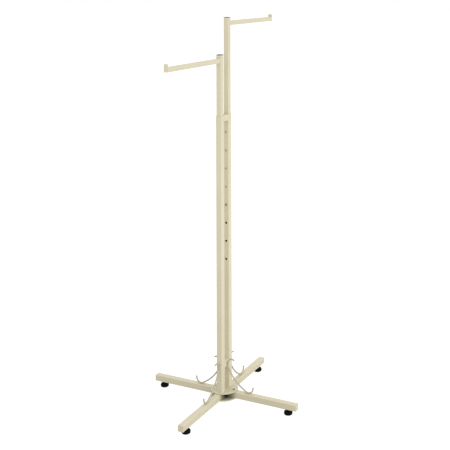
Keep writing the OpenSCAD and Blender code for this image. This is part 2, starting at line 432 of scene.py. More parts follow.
def loose_object(bm):
    """An object for a moment's use by a modifier."""
    mesh = bpy.data.meshes.new("loose")
    bm.to_mesh(mesh)
    bm.free()
    made = bpy.data.objects.new("loose", mesh)
    bpy.context.scene.collection.objects.link(made)
    return made


def cut(bm, *tools):
    """The bmesh with the tools taken out of it."""
    body = loose_object(bm)
    tool = loose_object(joined(*tools))
    modifier = body.modifiers.new("cut", "BOOLEAN")
    modifier.operation = "DIFFERENCE"
    modifier.solver = "EXACT"
    modifier.object = tool
    evaluated = body.evaluated_get(bpy.context.evaluated_depsgraph_get())
    result = bmesh.new()
    result.from_mesh(evaluated.to_mesh())
    evaluated.to_mesh_clear()
    for used in (body, tool):
        mesh = used.data
        bpy.data.objects.remove(used)
        bpy.data.meshes.remove(mesh)
    bmesh.ops.remove_doubles(result, verts=result.verts, dist=1e-7)
    return result


def hole_tool(diameter, depth):
    """Cuts a round hole down from z = 0 and eases its rim."""
    radius = diameter / 2
    profile = [(0, -depth), (radius, -depth)]
    rim_middle = (radius + HOLE_RIM, RIM_LIFT - HOLE_RIM)
    profile += reversed(quarter(rim_middle, HOLE_RIM, 90))
    profile += [(radius + HOLE_RIM, depth), (0, depth)]
    return lathe(profile, POLAR_STEPS)


def thread(z_from, z_to, diameter, pitch, pointed=0.0):
    """Rings of a screw thread. pointed chamfers its upper end by that much."""
    rings = []
    count = round((z_to - z_from) / (pitch / THREAD_STEPS))
    for n in range(count + 1):
        z = z_from + (z_to - z_from) * n / count
        lead = max(0.0, pointed - (z_to - z))

        def radius_at(angle):
            phase = (z / pitch - angle / (2 * math.pi)) % 1
            groove = min(1, abs(2 * phase - 1) * THREAD_FLANK) * THREAD_DEPTH * pitch
            return min(diameter / 2 - groove, diameter / 2 - lead)

        rings.append(polar_ring(z, radius_at))
    return rings


def hex_rings(z_from, z_to, across):
    """Rings of a hexagon whose corners are chamfered at both ends, as a nut's are."""
    half = across / 2
    chamfer = HEX_CHAMFER * half
    stages = [(z_from + chamfer * up, half * limit) for up, limit in HEX_CHAMFER_RINGS]
    stages += [(z_to - chamfer * up, half * limit) for up, limit in reversed(HEX_CHAMFER_RINGS)]
    rings = []
    for z, limit in stages:
        rings.append(polar_ring(z, lambda angle: min(hex_radius(across, angle), limit)))
    return rings


def nut(across, height, bore):
    """A hexagon nut on z = 0, its bore countersunk at both ends."""
    rings = hex_rings(0, height, across)
    for z, radius in (
        (height, bore / 2 + NUT_SINK),
        (height - NUT_SINK, bore / 2),
        (NUT_SINK, bore / 2),
        (0, bore / 2 + NUT_SINK),
    ):
        rings.append(polar_ring(z, lambda angle: radius))
    return loft(rings, closed=True)


# Shader building


def add(tree, kind, inputs=None, **settings):
    """Adds a shader node. Each input is a value or another node's output."""
    made = tree.nodes.new("ShaderNode" + kind)
    for name, value in settings.items():
        setattr(made, name, value)
    for name, value in (inputs or {}).items():
        socket = made.inputs[name]
        if isinstance(value, bpy.types.NodeSocket):
            tree.links.new(value, socket)
        else:
            socket.default_value = value
    return made


def noise(tree, place, scale, detail=2.0, roughness=0.5):
    """Noise from 0 to 1, its scale in cycles for each metre."""
    inputs = {"Vector": place, "Scale": scale, "Detail": detail, "Roughness": roughness}
    return add(tree, "TexNoise", inputs).outputs["Fac"]


def stretched(tree, place, scale):
    """Coordinates with each axis scaled: a small share draws a pattern out along that axis."""
    return add(tree, "Mapping", {"Vector": place, "Scale": scale}).outputs["Vector"]


def spread(tree, value, low, high, to_low, to_high):
    """Maps low..high to to_low..to_high and holds the ends."""
    inputs = {
        "Value": value,
        "From Min": low,
        "From Max": high,
        "To Min": to_low,
        "To Max": to_high,
    }
    return add(tree, "MapRange", inputs).outputs["Result"]


def maths(tree, operation, first, second):
    return add(tree, "Math", {0: first, 1: second}, operation=operation).outputs[0]


def blended(tree, share, first, second):
    """Mixes two colours: first at 0, second at 1."""
    inputs = {0: share, 6: (*first, 1) if isinstance(first, tuple) else first, 7: (*second, 1)}
    return add(tree, "Mix", inputs, data_type="RGBA").outputs[2]


def bump(tree, height, depth, below=None):
    """A normal raised by height times depth, on top of another normal if one is given."""
    inputs = {"Height": height, "Distance": depth, "Strength": 1.0}
    if below is not None:
        inputs["Normal"] = below
    return add(tree, "Bump", inputs).outputs["Normal"]


def finish_surface(name, colour, roughness, normal, metallic=0.0, coat=0.0, shine=0.5):
    """Fills in a material's main shader from sockets of its own node tree."""
    tree = bpy.data.materials[name].node_tree
    surface = tree.nodes["Principled BSDF"]
    tree.links.new(colour, surface.inputs["Base Color"])
    tree.links.new(roughness, surface.inputs["Roughness"])
    tree.links.new(normal, surface.inputs["Normal"])
    surface.inputs["Metallic"].default_value = metallic
    surface.inputs["Specular IOR Level"].default_value = shine
    surface.inputs["Coat Weight"].default_value = coat
    surface.inputs["Coat Roughness"].default_value = COAT_ROUGHNESS
    return bpy.data.materials[name]


def new_tree(name):
    """A new material's node tree and its object coordinates, which are metres."""
    made = bpy.data.materials.new(name)
    made.use_nodes = True
    tree = made.node_tree
    return tree, add(tree, "TexCoord").outputs["Object"]


# Colours
PAINT = (0.765, 0.708, 0.515)
PAINT_DEEP = (0.725, 0.663, 0.468)
PAINT_RUB = (0.70, 0.645, 0.475)
# Partly wear, partly painted shade: the upright's line seen through the post's holes
WORN_SHADED_LINE = (0.53, 0.485, 0.355)
# Darker tone for the upper plate's top round the posts' feet
PLATE_DARKENING = (0.40, 0.36, 0.27)
# Near black: painted shade between the hub plates and inside the posts, and mixed into the hook wire
PAINTED_SHADE = (0.022, 0.021, 0.018)
PLASTIC, PLASTIC_DUST = (0.004, 0.004, 0.004), (0.02, 0.02, 0.019)

# Powder coat
# The hook wire keeps this share of the paint's colour; the rest is painted shade, a shaded copy of
# the paint
WIRE_LIT_SHARE = 0.7
COAT, COAT_ROUGHNESS = 0.12, 0.25
DRIFT_SCALE = 7
SPECK_SCALE = 900
SMUDGE_SCALE = 26
STREAK_SCALE, STREAK_STRETCH = 520, (1, 1, 0.02)
PEEL_SCALE, PEEL_DEPTH = 420, 0.06 * MM
GRAIN_SCALE, GRAIN_DEPTH = 2600, 0.012 * MM

# Plastic and plated steel
DUST_SCALE, POLISH_SCALE = 180, 90
SPARK_SCALE, SPARK_DEPTH = 3200, 0.03 * MM
TONE_SCALE = 240
LINE_SCALE, LINE_STRETCH, LINE_DEPTH = 2400, (1, 1, 0.15), 0.008 * MM

LEG_LOW, LEG_TOP = level("right_leg")
POST_NEAR, POST_FAR = extent("back_post", "back")
POST_REACH = (POST_NEAR + POST_FAR) / 2
POST_W = POST_FAR - POST_NEAR
POST_TOP = level("back_post")[1]

# Painted shade between the hub plates: its darkest spot, how far from there it fades out, within
# what distance it is full, and how much closer and up to what height it reaches on the lower plate.
# Last, how strongly the upper plate's top is darkened round the posts' feet
DARKEST_SHADE_SPOT = (6 * MM, -6 * MM, 0)
SHADE_FADES_AT, SHADE_FULL_WITHIN = 60 * MM, 14 * MM
LOWER_PLATE_SHADE_INSET, LOWER_PLATE_SHADE_H = 14 * MM, 3 * MM
PLATE_DARKENING_SHARE = 0.4
# Colours that follow a surface change between these distances off it
OFF_NEAR, OFF_FAR = 0.1 * MM, 0.4 * MM
BORE_EDGE = (0.08 * MM, 0.15 * MM)
# Where the darker line on an upright, partly wear and partly painted shade, fades: half its width,
# how far from the upright's middle toward the gap, and how far below the post's top
DARK_LINE_HALF_WIDTH = (0.5 * POST_HOLE_D, 0.6 * POST_HOLE_D)
DARK_LINE_OFF_MIDDLE = (4 * MM, 3 * MM)
DARK_LINE_BELOW_TOP = (20 * MM, 10 * MM)


def hub_painted_shade(tree, place, colour):
    """Painted shade in between the hub plates: near black toward the middle, less so on the lower
    plate's rim. Outside, the upper plate's top is darkened round the posts' feet."""
    across = add(tree, "VectorMath", {0: place, 1: (1, 1, 0)}, operation="MULTIPLY")
    across = add(tree, "VectorMath", {0: across.outputs[0], 1: DARKEST_SHADE_SPOT}, operation="DISTANCE")
    height = add(tree, "SeparateXYZ", {"Vector": place}).outputs["Z"]
    lower_plate_inset = spread(tree, height, LEG_LOW + OFF_NEAR, LEG_LOW + LOWER_PLATE_SHADE_H, LOWER_PLATE_SHADE_INSET, 0)
    far = maths(tree, "ADD", across.outputs["Value"], lower_plate_inset)
    inward = spread(tree, far, SHADE_FULL_WITHIN, SHADE_FADES_AT, 1, 0)
    not_above = spread(tree, height, LEG_TOP + OFF_NEAR, LEG_TOP + OFF_FAR, 1, 0)
    not_below = spread(tree, height, LEG_LOW - OFF_FAR, LEG_LOW - OFF_NEAR, 0, 1)
    between = maths(tree, "MULTIPLY", not_above, not_below)
    # the upper plate's top is darkened toward the posts' feet
    on_top = maths(tree, "MULTIPLY", inward, spread(tree, not_above, 0, 1, PLATE_DARKENING_SHARE, 0))
    colour = blended(tree, on_top, colour, PLATE_DARKENING)
    # painted shade in between the hub plates
    return blended(tree, maths(tree, "MULTIPLY", inward, between), colour, PAINTED_SHADE)


def painted_bore_shade(tree, place, colour):
    """No powder gets inside a post; the near black of its bore is painted shade, darker than bare
    steel.
    """
    x, y, _ = add(tree, "SeparateXYZ", {"Vector": place}).outputs
    from_middle = maths(tree, "SUBTRACT", maths(tree, "ABSOLUTE", y, 0), POST_REACH)
    sideways = maths(tree, "ABSOLUTE", x, 0)
    off = maths(tree, "MAXIMUM", sideways, maths(tree, "ABSOLUTE", from_middle, 0))
    bore = POST_W / 2 - POST_WALL
    inside = spread(tree, off, bore + BORE_EDGE[0], bore + BORE_EDGE[1], 1, 0)
    return blended(tree, inside, colour, PAINTED_SHADE)


def worn_and_shaded_line(tree, place, colour):
    """A darker line down the middle of the upright where the post's holes look onto it: partly wear
    from the holes, partly painted shade of the holes' recess.
    """
    x, y, z = add(tree, "SeparateXYZ", {"Vector": place}).outputs
    sideways = maths(tree, "ABSOLUTE", x, 0)
    on_line = spread(tree, sideways, *DARK_LINE_HALF_WIDTH, 1, 0)
    outward = maths(tree, "ABSOLUTE", y, 0)
    in_front = spread(tree, outward, *(POST_REACH - off for off in DARK_LINE_OFF_MIDDLE), 1, 0)
    in_post = spread(tree, z, *(POST_TOP - below for below in DARK_LINE_BELOW_TOP), 1, 0)
    worn_shaded = maths(tree, "MULTIPLY", maths(tree, "MULTIPLY", on_line, in_front), in_post)
    return blended(tree, worn_shaded, colour, WORN_SHADED_LINE)


def powder_coat(name, scuffed=False, hub=False, shaded_bore=False, lit_share=1.0):
    """Semi-gloss almond powder coat: orange peel, fine grain and a slow drift in tone.
    The last argument below 1 mixes in painted shade, for a shaded copy of the paint."""
    tree, place = new_tree(name)
    drift = spread(tree, noise(tree, place, DRIFT_SCALE, 3), 0.3, 0.7, 0, 1)
    colour = blended(tree, drift, PAINT, PAINT_DEEP)
    specks = spread(tree, noise(tree, place, SPECK_SCALE, 1), 0.72, 0.78, 0, 0.5)
    colour = blended(tree, specks, colour, PAINT_RUB)
    # painted shade: a darker, shaded copy of the paint
    if lit_share < 1:
        colour = blended(tree, 1 - lit_share, colour, PAINTED_SHADE)
    # painted shade between the hub plates
    if hub:
        colour = hub_painted_shade(tree, place, colour)
    # painted shade inside the posts
    if shaded_bore:
        colour = painted_bore_shade(tree, place, colour)
    peel = noise(tree, place, PEEL_SCALE, 2, 0.45)
    grain = noise(tree, place, GRAIN_SCALE, 1)
    smudge = noise(tree, place, SMUDGE_SCALE, 4, 0.6)
    roughness = spread(tree, smudge, 0.3, 0.75, 0.33, 0.46)
    if scuffed:
        streaks = noise(tree, stretched(tree, place, STREAK_STRETCH), STREAK_SCALE, 3, 0.65)
        rubbed = spread(tree, streaks, 0.55, 0.72, 0, 0.55)
        colour = blended(tree, rubbed, colour, PAINT_RUB)
        roughness = maths(tree, "ADD", roughness, spread(tree, rubbed, 0, 0.55, 0, 0.1))
        # partly wear, partly painted shade in the post's holes
        colour = worn_and_shaded_line(tree, place, colour)
    normal = bump(tree, grain, GRAIN_DEPTH, bump(tree, peel, PEEL_DEPTH))
    return finish_surface(name, colour, roughness, normal, coat=COAT)


def moulded_plastic(name, shine):
    """Black moulded plastic with a fine spark-eroded grain and a little dust."""
    tree, place = new_tree(name)
    dust = spread(tree, noise(tree, place, DUST_SCALE, 4, 0.6), 0.5, 0.8, 0, 0.3)
    colour = blended(tree, dust, PLASTIC, PLASTIC_DUST)
    roughness = spread(tree, noise(tree, place, POLISH_SCALE, 3), 0.3, 0.7, 0.5, 0.66)
    normal = bump(tree, noise(tree, place, SPARK_SCALE, 2), SPARK_DEPTH)
    return finish_surface(name, colour, roughness, normal, shine=shine)


def plated_steel(name, light, dark, rough_low, rough_high):
    """Plated or bare steel with fine uneven rubbing and a drift in tone."""
    tree, place = new_tree(name)
    tone = spread(tree, noise(tree, place, TONE_SCALE, 4, 0.6), 0.3, 0.7, 0, 1)
    colour = blended(tree, tone, light, dark)
    lines = noise(tree, stretched(tree, place, LINE_STRETCH), LINE_SCALE, 2, 0.6)
    roughness = spread(tree, lines, 0.3, 0.7, rough_low, rough_high)
    normal = bump(tree, lines, LINE_DEPTH)
    return finish_surface(name, colour, roughness, normal, metallic=1.0)


paint = powder_coat("almond_powder_coat")
slid_paint = powder_coat("almond_powder_coat_slid", scuffed=True)
hub_paint = powder_coat("almond_powder_coat_hub", hub=True)
post_paint = powder_coat("almond_powder_coat_post", shaded_bore=True)
# the hook wire: the paint with painted shade mixed in
wire_paint = powder_coat("almond_powder_coat_wire", lit_share=WIRE_LIT_SHARE)
pad_plastic = moulded_plastic("black_pad_plastic", shine=0.08)
plug_plastic = moulded_plastic("black_plug_plastic", shine=0.3)
zinc = plated_steel("dull_zinc", (0.37, 0.335, 0.275), (0.27, 0.245, 0.2), 0.34, 0.5)
oxide = plated_steel("black_oxide", (0.045, 0.045, 0.048), (0.02, 0.02, 0.021), 0.34, 0.5)
spring = plated_steel("spring_steel", (0.36, 0.37, 0.39), (0.24, 0.25, 0.27), 0.22, 0.36)


def skin(name, bm, material, nodes):
    """Makes a piece of the object that stands for CAD nodes."""
    mesh = bpy.data.meshes.new(name)
    bm.to_mesh(mesh)
    bm.free()
    mesh.shade_smooth()
    mesh.set_sharp_from_angle(angle=math.radians(SHARP_ANGLE))
    mesh.materials.append(material)
    made = bpy.data.objects.new(name, mesh)
    bpy.context.scene.collection.objects.link(made)
    weighted = made.modifiers.new("flat_faces", "WEIGHTED_NORMAL")
    weighted.keep_sharp = True
    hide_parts(*nodes)
    return made


def piece(name, bm, body, material, *nodes):
    """Makes a piece that rides on a body and stands for CAD nodes."""
    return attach(skin(name, bm, material, nodes), body)


# Base

LEG_W = LEG_TOP - LEG_LOW
HUB_TOP = level("upper_plate")[1]
HUB_BOTTOM = level("lower_plate")[0]
SIDE_BOLT_REACH = extent("side_leg_bolts", "right")[1] - BOLT_HEAD_D / 2
FOOT_REACH = sum(extent("right_foot_pad", "right")) / 2
BOLT_REACH = {
    "right": SIDE_BOLT_REACH,
    "left": SIDE_BOLT_REACH,
    "front": POST_REACH,
    "back": POST_REACH,
}


def leg(way):
    """A leg of square tube with its bolt holes and, below, the foot's hole."""
    start, end = extent(f"{way}_leg", way)
    middle = (LEG_LOW + LEG_TOP) / 2
    tube = square_tube(LEG_W, LEG_WALL, LEG_CORNER, end - start)
    tube = placed(tube, move(start, 0, middle) @ LAY_ALONG_X)
    reach = BOLT_REACH[way]
    tools = []
    for diameter, spot in (
        (BOLT_HOLE_D, move(reach, 0, LEG_TOP)),
        (BOLT_HOLE_D, move(reach, 0, LEG_LOW) @ UPSIDE_DOWN),
        (FOOT_HOLE_D, move(FOOT_REACH, 0, LEG_LOW) @ UPSIDE_DOWN),
    ):
        tools.append(placed(hole_tool(diameter, 2 * LEG_WALL), spot))
    return placed(cut(tube, *tools), turn(way))


def leg_cap(way):
    """A pressed-in cap with an eased, hardly crowned face."""
    end = extent(f"{way}_leg_cap", way)[1]
    edge = LEG_CAP_EDGE
    stages = tapered_stem(LEG_WALL, LEG_CAP_TAPER, -LEG_CAP_PLUG)
    stages += [(LEG_WALL, 0), (0, 0)]
    stages += reversed(quarter((edge, LEG_CAP_T - edge), edge, 90))
    stages += crowned(LEG_CAP_CROWN, LEG_CAP_T)
    cap = plug(LEG_W, LEG_CORNER, stages)
    middle = (LEG_LOW + LEG_TOP) / 2
    return placed(cap, turn(way) @ move(end - LEG_CAP_T, 0, middle) @ LAY_ALONG_X)


def hub_plate(node):
    """A blanked round plate with eased edges and four bolt holes."""
    low, high = level(node)
    radius = extent(node, "right")[1]
    profile = [(0, low)]
    profile += quarter((radius - PLATE_EDGE, low + PLATE_EDGE), PLATE_EDGE, -90)
    profile += quarter((radius - PLATE_EDGE, high - PLATE_EDGE), PLATE_EDGE, 0)
    profile.append((0, high))
    tools = []
    for way, reach in BOLT_REACH.items():
        spot = turn(way) @ Vector((reach, 0, high))
        tools.append(placed(hole_tool(BOLT_HOLE_D, 2 * (high - low)), move(*spot)))
    return cut(lathe(profile, PLATE_STEPS), *tools)


def side_bolt():
    """A button-head bolt from the upper plate down through a leg, with a hexagon socket."""
    low, top = level("side_leg_bolts")
    head_r = BOLT_HEAD_D / 2
    shank = BOLT_D / 2
    rings = thread(low, HUB_BOTTOM, BOLT_D, BOLT_PITCH)
    rings[0] = polar_ring(low, lambda angle: shank - BOLT_POINT)
    stages = [(HUB_BOTTOM + BOLT_PITCH, shank), (HUB_TOP - BOLT_SEAT, shank)]
    stages += [(HUB_TOP + up, head_r - inset) for up, inset in BOLT_HEAD]
    stages += [(top - down, head_r - inset) for down, inset in BOLT_HEAD_TOP]
    for z, radius in stages:
        rings.append(polar_ring(z, lambda angle: radius))
    for depth in (BOLT_SOCKET_EDGE, BOLT_SOCKET_DEPTH):
        rings.append(polar_ring(top - depth, lambda angle: hex_radius(BOLT_SOCKET, angle)))
    return loft(rings)


def post_bolt():
    """A hexagon bolt from under the lower plate up through a leg into a post."""
    low, top = level("post_bolts")
    rings = hex_rings(low, low + HEX_HEAD_H, NUT_ACROSS)
    for z in (low + HEX_HEAD_H + BOLT_SEAT, HUB_TOP):
        rings.append(polar_ring(z, lambda angle: BOLT_D / 2))
    start = HUB_TOP + BOLT_PITCH / 2
    rings += thread(start, top, BOLT_D, BOLT_PITCH, pointed=BOLT_POINT)
    return loft(rings)


def hub_nut(node):
    """One of the hub bolts' nuts, at its node's height."""
    return placed(nut(NUT_ACROSS, NUT_H, BOLT_D), move(0, 0, level(node)[0]))


def opposite_pair(build, reach, ways, *given):
    """Two equal fasteners, one on each side of the column."""
    parts = []
    for way in ways:
        spot = turn(way) @ Vector((reach, 0, 0))
        parts.append(placed(build(*given), move(*spot)))
    return joined(*parts)


def foot_pad(way):
    """A moulded foot: rounded edges, a dished top with a collar, a shallow hollow below."""
    low, high = level(f"{way}_foot_pad")
    near, far = extent(f"{way}_foot_pad", way)
    flat = (far - near) / 2 - PAD_EDGE
    profile = [(0, low + PAD_HOLLOW), (flat - PAD_HOLLOW_IN, low + PAD_HOLLOW)]
    profile.append((flat - PAD_HOLLOW_OUT, low))
    profile += quarter((flat, low + PAD_EDGE), PAD_EDGE, -90, PAD_EDGE_STEPS)
    profile += quarter((flat, high - PAD_EDGE), PAD_EDGE, 0, PAD_EDGE_STEPS)
    profile += [(flat - inset, high - down) for inset, down in PAD_DISH]
    profile += [(radius, high - down) for radius, down in PAD_COLLAR]
    profile += [
        (PAD_SOCKET_R + PAD_SOCKET_EDGE, high),
        (PAD_SOCKET_R, high - PAD_SOCKET_EDGE),
        (PAD_SOCKET_R, low + PAD_SOCKET_FLOOR),
        (0, low + PAD_SOCKET_FLOOR),
    ]
    return placed(lathe(profile), turn(way) @ move(FOOT_REACH, 0, 0))


def foot_stud(way):
    """The foot's screw: a pin in the pad, a hexagon to turn and the thread above it."""
    low, top = level(f"{way}_foot_stud")
    hex_low = level(f"{way}_foot_pad")[1]
    rings = [
        polar_ring(low, lambda angle: STUD_D / 2 - STUD_PIN_EDGE),
        polar_ring(low + STUD_PIN_EDGE, lambda angle: STUD_D / 2),
        polar_ring(hex_low, lambda angle: STUD_D / 2),
    ]
    rings += hex_rings(hex_low, LEG_LOW, STUD_HEX)
    rings += thread(LEG_LOW + STUD_NECK, top, STUD_D, STUD_PITCH, pointed=STUD_POINT)
    return placed(loft(rings), turn(way) @ move(FOOT_REACH, 0, 0))


def foot_nuts():
    """The four nuts welded in the legs over the feet."""
    low, high = level("foot_nuts")
    nuts = []
    for way in WAYS:
        made = nut(FOOT_NUT_ACROSS, high - low, FOOT_NUT_BORE)
        nuts.append(placed(made, turn(way) @ move(FOOT_REACH, 0, low)))
    return joined(*nuts)


for way in WAYS:
    piece(f"{way}_leg_tube", leg(way), "base_frame", hub_paint, f"{way}_leg")
    piece(f"{way}_leg_end_cap", leg_cap(way), "base_frame", paint, f"{way}_leg_cap")
    piece(f"{way}_foot_disc", foot_pad(way), f"{way}_foot", pad_plastic, f"{way}_foot_pad")
    piece(f"{way}_foot_bolt", foot_stud(way), f"{way}_foot_screw", oxide, f"{way}_foot_stud")

piece("lower_hub_plate", hub_plate("lower_plate"), "base_frame", hub_paint, "lower_plate")
sides = (SIDE_BOLT_REACH, ("right", "left"))
ends = (POST_REACH, ("back", "front"))
for name, made, node in (
    ("side_hub_bolts", opposite_pair(side_bolt, *sides), "side_leg_bolts"),
    ("side_hub_nuts", opposite_pair(hub_nut, *sides, "side_leg_nuts"), "side_leg_nuts"),
    ("post_hub_bolts", opposite_pair(post_bolt, *ends), "post_bolts"),
    ("post_hub_nuts", opposite_pair(hub_nut, *ends, "post_nuts"), "post_nuts"),
):
    piece(name, made, "base_frame", zinc, node)
piece("foot_weld_nuts", foot_nuts(), "base_frame", zinc, "foot_nuts")


# Posts and braces

FIRST_HOLE = POST_TOP - POST_HOLE_PITCH


def facing(side):
    """Mirrors what is built for the back to the front."""
    return Matrix.Diagonal((1, SIDES[side], 1, 1))


def mirrored(bm, side):
    """Moves a piece built at the back to its own side and keeps its faces outward."""
    bm.transform(facing(side))
    if SIDES[side] < 0:
        bmesh.ops.reverse_faces(bm, faces=bm.faces)
    return bm


def post():
    """A post with its row of height holes in the wall that faces the gap."""
    tube = square_tube(POST_W, POST_WALL, POST_CORNER, POST_TOP - HUB_TOP)
    tube = placed(tube, move(0, POST_REACH, HUB_TOP))
    tools = []
    for i in range(POST_HOLES):
        spot = move(0, POST_NEAR, FIRST_HOLE - i * POST_HOLE_PITCH) @ TOWARD_FRONT
        tools.append(placed(hole_tool(POST_HOLE_D, 2 * POST_WALL), spot))
    return cut(tube, *tools)


def base_weld():
    """The bead round a post's foot."""
    width = POST_W + 2 * BEAD_SINK
    ring = rounded_rectangle(width, width, POST_CORNER + BEAD_SINK, BEAD_SINK)
    return placed(bead(ring, closed=True), move(0, POST_REACH, HUB_TOP))


def brace(node):
    """A short tube between the posts, welded all round at both ends and dressed flush."""
    low, high = level(node)
    width = high - low
    middle = (low + high) / 2
    tube = square_tube(width, BRACE_WALL, POST_CORNER, 2 * POST_NEAR)
    parts = [placed(tube, move(0, POST_NEAR, middle) @ TOWARD_FRONT)]
    side = width - 2 * BRACE_BEAD_INSET
    ring = rounded_rectangle(side, side, POST_CORNER - BRACE_BEAD_INSET)
    for sign in (1, -1):
        spot = move(0, sign * (POST_NEAR - BRACE_BEAD_BACK), middle) @ TOWARD_FRONT
        parts.append(placed(bead(ring, closed=True), spot))
    return joined(*parts)


for side in SIDES:
    body = joined(mirrored(post(), side), mirrored(base_weld(), side))
    piece(f"{side}_post_tube", body, "base_frame", post_paint, f"{side}_post")
piece("upper_hub_plate", hub_plate("upper_plate"), "base_frame", hub_paint, "upper_plate")
piece("column_top_brace", brace("top_brace"), "base_frame", paint, "top_brace")
piece("column_hook_brace", brace("hook_brace"), "base_frame", paint, "hook_brace")


# Hooks


def wire_points(start, segments):
    """Points along a wire in the XZ plane that leaves start going up. Bends turn toward +X."""
    point, heading = start.copy(), math.pi / 2
    points = [point.copy()]
    for size, degrees in segments:
        if degrees == 0:
            point = point + size * Vector((math.cos(heading), 0, math.sin(heading)))
            points.append(point.copy())
            continue
        centre = point + size * Vector((math.sin(heading), 0, -math.cos(heading)))
        steps = math.ceil(degrees / WIRE_BEND_STEP)
        for step in range(1, steps + 1):
            now = heading - math.radians(degrees) * step / steps
            points.append(centre - size * Vector((math.sin(now), 0, -math.cos(now))))
        heading -= math.radians(degrees)
        point = points[-1].copy()
    return points


def hook(face):
    """A bent wire hook that touches the column at face, with its two tack welds."""
    start = Vector((face + WIRE_STANDOFF, 0, LEG_TOP + HOOK_RISE))
    steep = math.cos(math.radians(HOOK_STEEP))
    shallow = math.cos(math.radians(HOOK_SHALLOW))
    arc_drop = HOOK_RISE - WIRE_STANDOFF - HOOK_BEND_R * steep - HOOK_FOOT_R * (1 - shallow)
    arc_r = arc_drop / (shallow - steep)
    curl = wire_points(start, HOOK_CURL)
    tip = wire_points(start, [
        (HOOK_BEND_R, 90 - HOOK_STEEP),
        (arc_r, HOOK_STEEP - HOOK_SHALLOW),
        (HOOK_FOOT_R, HOOK_SHALLOW + HOOK_TIP_ANGLE),
        (HOOK_TIP, 0),
    ])
    for point in tip:
        point.z = 2 * start.z - point.z
    path, radii = domed(list(reversed(tip[1:])) + curl, WIRE_R)
    parts = [sweep(path, radii)]
    for y in (-1, 1):
        ends = []
        for z in (-TACK_LENGTH / 2, TACK_LENGTH / 2):
            ends.append(Vector((face + BEAD_SINK, y * (WIRE_R - TACK_SINK), start.z + z)))
        parts.append(bead(ends, TACK_R))
    return joined(*parts)


BRACE_FACE = extent("hook_brace", "right")[1]
HOOK_FACE = {"right": BRACE_FACE, "left": BRACE_FACE, "back": POST_FAR, "front": POST_FAR}
for way in WAYS:
    made = placed(hook(HOOK_FACE[way]), turn(way))
    piece(f"{way}_wire_hook", made, "base_frame", wire_paint, f"{way}_hook")


# Uprights, arms and spring buttons


def button_height(side):
    """The height of a spring button's middle."""
    return sum(level(f"{side}_button")) / 2


def upright(side):
    """The sliding upright with the hole that its spring button looks out of."""
    node = f"{side}_upright"
    low, high = level(node)
    near, far = extent(node, side)
    tube = square_tube(far - near, UPRIGHT_WALL, UPRIGHT_CORNER, high - low)
    tube = placed(tube, move(0, (near + far) / 2, low))
    spot = move(0, near, button_height(side)) @ TOWARD_FRONT
    tool = hole_tool(POST_HOLE_D, 2 * UPRIGHT_WALL)
    return mirrored(cut(tube, placed(tool, spot)), side)


def upright_plug(side):
    """A black plug pressed into the upright's top, with a thin and hardly crowned head."""
    node = f"{side}_upright_plug"
    low, high = level(node)
    near, far = extent(node, side)
    depth = high - low
    stages = tapered_stem(UPRIGHT_WALL, PLUG_TAPER, 0)
    stages += [(UPRIGHT_WALL, depth - PLUG_HEAD_T), (0, depth - PLUG_HEAD_T)]
    stages += reversed(quarter((PLUG_EDGE, depth - PLUG_EDGE), PLUG_EDGE, 90))
    stages += crowned(PLUG_CROWN, depth)
    made = plug(far - near, UPRIGHT_CORNER, stages)
    return mirrored(placed(made, move(0, (near + far) / 2, low)), side)


def arm(side):
    """A straight arm, welded all round to its upright and across the top to its end plate."""
    node = f"{side}_arm"
    low, high = level(node)
    near, far = extent(node, side)
    width = high - low
    middle = (low + high) / 2
    outward = turn("back")
    tube = square_tube(width, ARM_WALL, ARM_CORNER, far - near)
    parts = [placed(tube, outward @ move(near, 0, middle) @ LAY_ALONG_X)]
    ring_width = width + 2 * BEAD_SINK
    ring = rounded_rectangle(ring_width, ring_width, ARM_CORNER + BEAD_SINK)
    root = bead(ring, closed=True)
    parts.append(placed(root, outward @ move(near + BEAD_SINK, 0, middle) @ LAY_ALONG_X))
    half = width / 2 - ARM_CORNER
    across = [Vector((x, far - BEAD_SINK, high + BEAD_SINK)) for x in (-half, half)]
    parts.append(bead(across, ARM_TOP_BEAD_R))
    return mirrored(joined(*parts), side)


def plate_outline(width, height, inset, depth):
    """The end plate's outline on z = depth, standing on y = 0, drawn in by inset."""
    points = []
    for corner, (x, radius) in enumerate((
        (1, ARM_END_CORNER),
        (-1, ARM_END_CORNER),
        (-1, ARM_END_FOOT_CORNER),
        (1, ARM_END_FOOT_CORNER),
    )):
        y = height - radius if corner < 2 else radius
        for step in range(CORNER_STEPS + 1):
            angle = (corner + step / CORNER_STEPS) * math.pi / 2
            reach = radius - inset
            points.append(Vector((
                x * (width / 2 - radius) + reach * math.cos(angle),
                y + reach * math.sin(angle),
                depth,
            )))
    return points


def arm_end(side):
    """The plate that closes an arm and stands above it: square below, round corners above."""
    node = f"{side}_arm_end"
    low, high = level(node)
    near, far = extent(node, side)
    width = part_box(node)[1].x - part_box(node)[0].x
    thickness = far - near
    edge = ARM_END_EDGE
    profile = list(reversed(quarter((edge, edge), edge, 180)))
    profile += reversed(quarter((edge, thickness - edge), edge, 90))
    made = loft([plate_outline(width, high - low, inset, depth) for inset, depth in profile])
    return mirrored(placed(made, turn("back") @ move(near, 0, low) @ LAY_ALONG_X), side)


def button(side):
    """A turned button with a domed end and the flange that keeps it in the upright."""
    near, far = extent(f"{side}_button", side)
    length = far - near
    profile = [(0, 0)]
    for step in range(1, BUTTON_DOME_STEPS + 1):
        angle = math.pi / 2 * step / BUTTON_DOME_STEPS
        profile.append((BUTTON_R * math.sin(angle), BUTTON_DOME * (1 - math.cos(angle))))
    profile += [
        (BUTTON_R, length - FLANGE_T),
        (FLANGE_R - FLANGE_EDGE, length - FLANGE_T),
        (FLANGE_R, length - FLANGE_T / 2),
        (FLANGE_R - FLANGE_EDGE, length),
        (0, length),
    ]
    spot = move(0, near, button_height(side)) @ TOWARD_BACK
    return mirrored(placed(lathe(profile, BUTTON_STEPS), spot), side)


def leaf_heights(side):
    """Where the straight legs of a leaf spring start and end."""
    node = f"{side}_button_spring"
    near, far = extent(node, side)
    bottom, top = level(node)
    return bottom + (far - near) / 2, top


